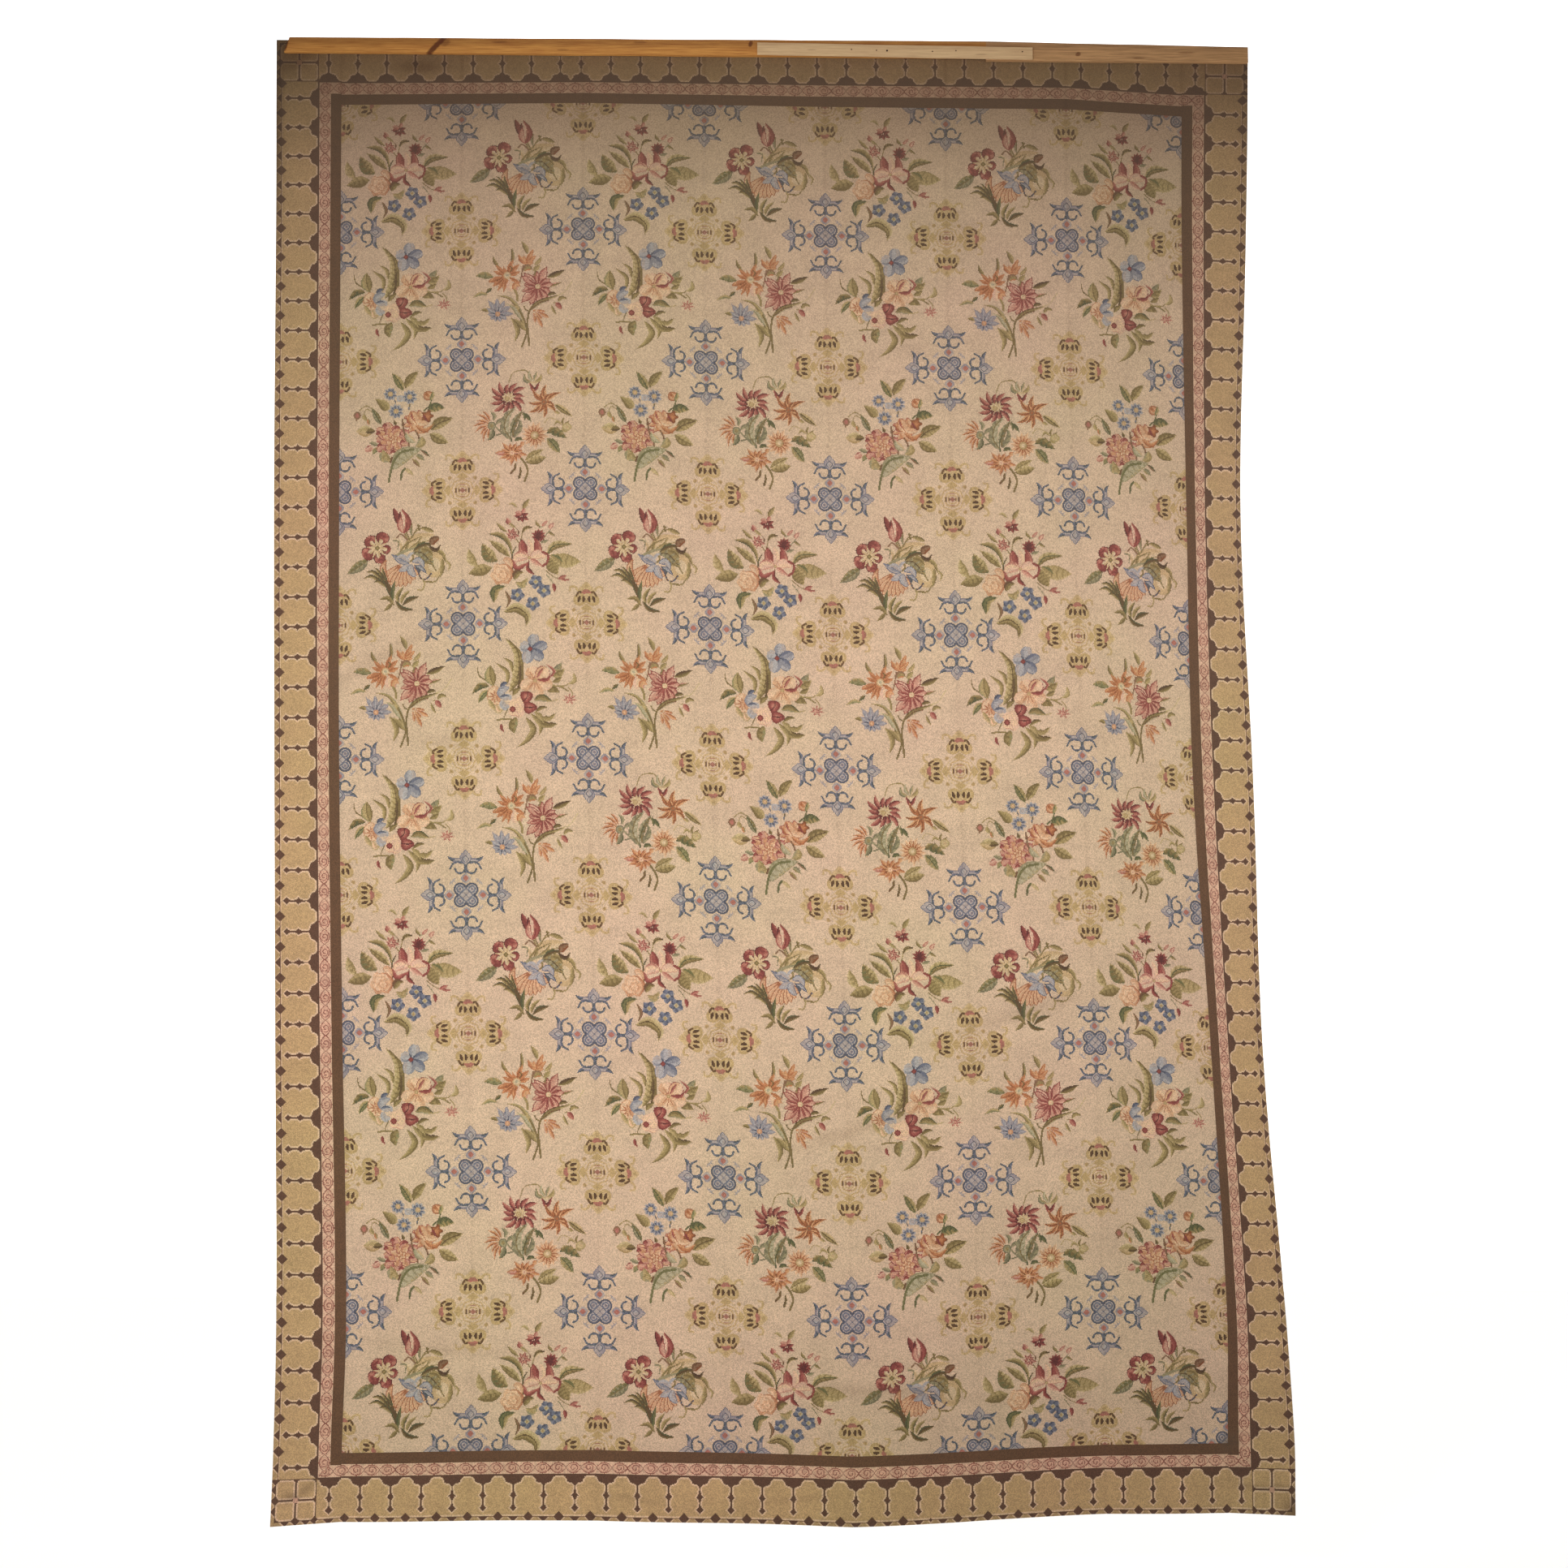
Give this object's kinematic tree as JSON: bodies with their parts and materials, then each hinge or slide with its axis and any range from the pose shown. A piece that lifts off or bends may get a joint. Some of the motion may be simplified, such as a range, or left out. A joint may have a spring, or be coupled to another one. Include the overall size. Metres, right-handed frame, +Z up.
{
  "type": "woolwork carpet hung from a timber batten",
  "caption": "Large needlework carpet in sewn strips with flower bouquets and quatrefoil crosses in a cartouche border, hung face on from a nailed timber batten",
  "frame": {"origin": "on the flat top face of the batten, above the middle of the carpet", "axes": "+Z up along the carpet's height, +X to the right as the worked face is looked at, the worked face looks along -Y"},
  "size_m": [3.7693, 0.0909, 5.5298],
  "materials": {
    "field_wool": "cream wool needlework with coloured motifs",
    "border_wool": "tan, pink and dark brown wool needlework",
    "brown_timber": "sawn brown softwood, unvarnished",
    "pale_timber": "sawn pale softwood, unvarnished"
  },
  "bodies": {
    "root": {"field_strip_1": "field_wool", "field_strip_2": "field_wool", "field_strip_3": "field_wool", "field_strip_4": "field_wool", "field_strip_5": "field_wool", "field_strip_6": "field_wool", "field_strip_7": "field_wool", "border_top": "border_wool", "border_bottom": "border_wool", "border_left": "border_wool", "border_right": "border_wool", "batten_long": "brown_timber", "batten_short": "brown_timber", "batten_splice": "pale_timber"}
  },
  "joints": []
}
